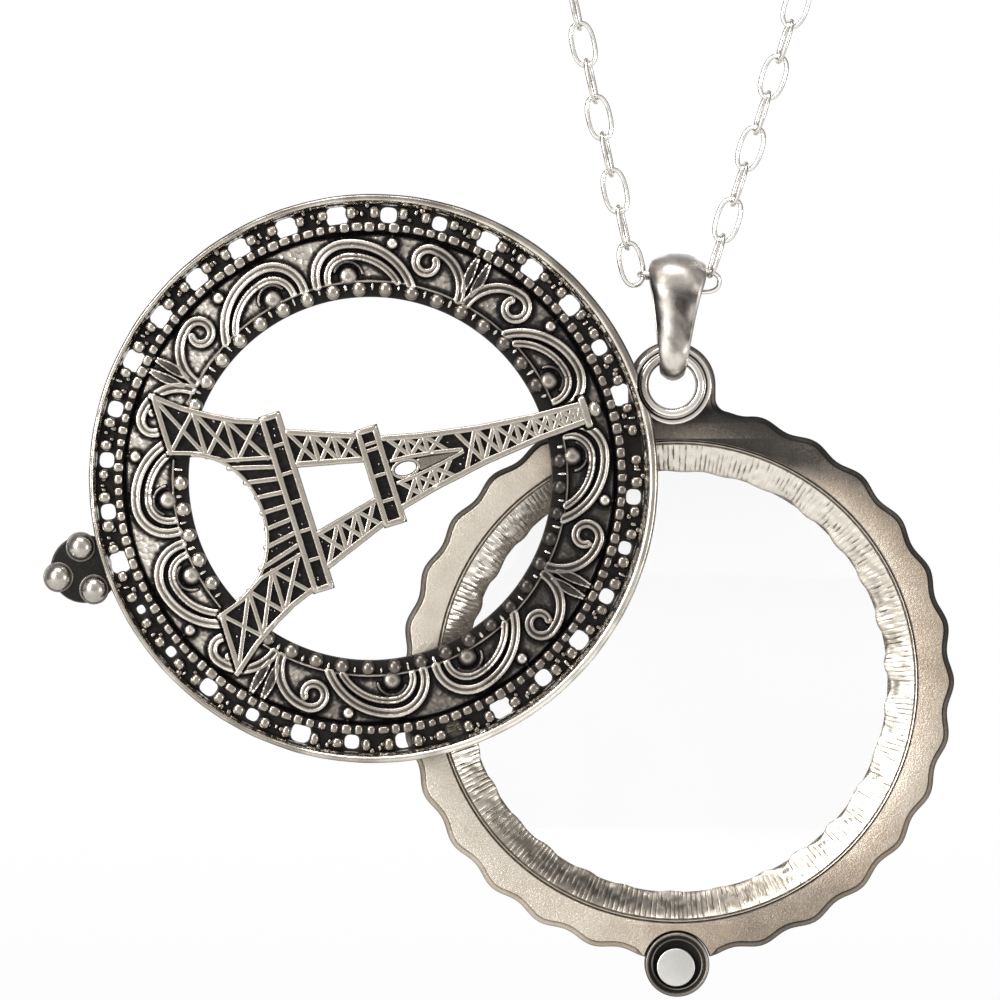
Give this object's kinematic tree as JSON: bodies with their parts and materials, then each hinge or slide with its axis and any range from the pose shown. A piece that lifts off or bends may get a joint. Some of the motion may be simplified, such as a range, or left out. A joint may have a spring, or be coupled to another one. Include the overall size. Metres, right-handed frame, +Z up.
{
  "type": "swivel magnifier pendant on a cable chain",
  "caption": "Hanging necklace with a round magnifying lens in a scalloped frame, a pierced cover with a lattice tower that swivels over it, a bail and a long cable chain.",
  "frame": {"origin": "middle of the clasp, where the chain rests on the nape of the neck", "axes": "+Z up, -Y to the front of the wearer, +X to the wearer's left; the pendant hangs at the front"},
  "size_m": [0.1422, 0.1932, 0.273],
  "materials": {
    "chain_silver": "bright silver plated wire",
    "bail_silver": "polished antique silver plate, darkened in the corners",
    "satin_silver": "satin antique silver plate with a fine cast grain",
    "antique_silver": "antique silver plate, blackened in the recesses and rubbed bright on the relief",
    "clear_glass": "clear polished glass",
    "nickel": "matt nickel plate"
  },
  "bodies": {
    "necklace": {"chain_left": "chain_silver", "chain_right": "chain_silver", "clasp": "chain_silver", "bail": "bail_silver"},
    "pendant": {"lens_frame": "satin_silver", "lens": "clear_glass", "magnet": "nickel", "rivet": "bail_silver"},
    "cover": {"cover": "antique_silver", "cover_lug": "antique_silver", "keeper": "nickel"}
  },
  "joints": [
    {"name": "pendant_swing", "type": "hinge", "parent": "necklace", "child": "pendant", "pos_m": [-0.01644, -0.18807, -0.21457], "axis": [1, 0, 0], "range_deg": [-20, 20]},
    {"name": "cover_swing", "type": "hinge", "parent": "pendant", "child": "cover", "pos_m": [-0.01644, -0.18807, -0.21746], "axis": [0, 1, 0], "range_deg": [-155, 11]}
  ]
}
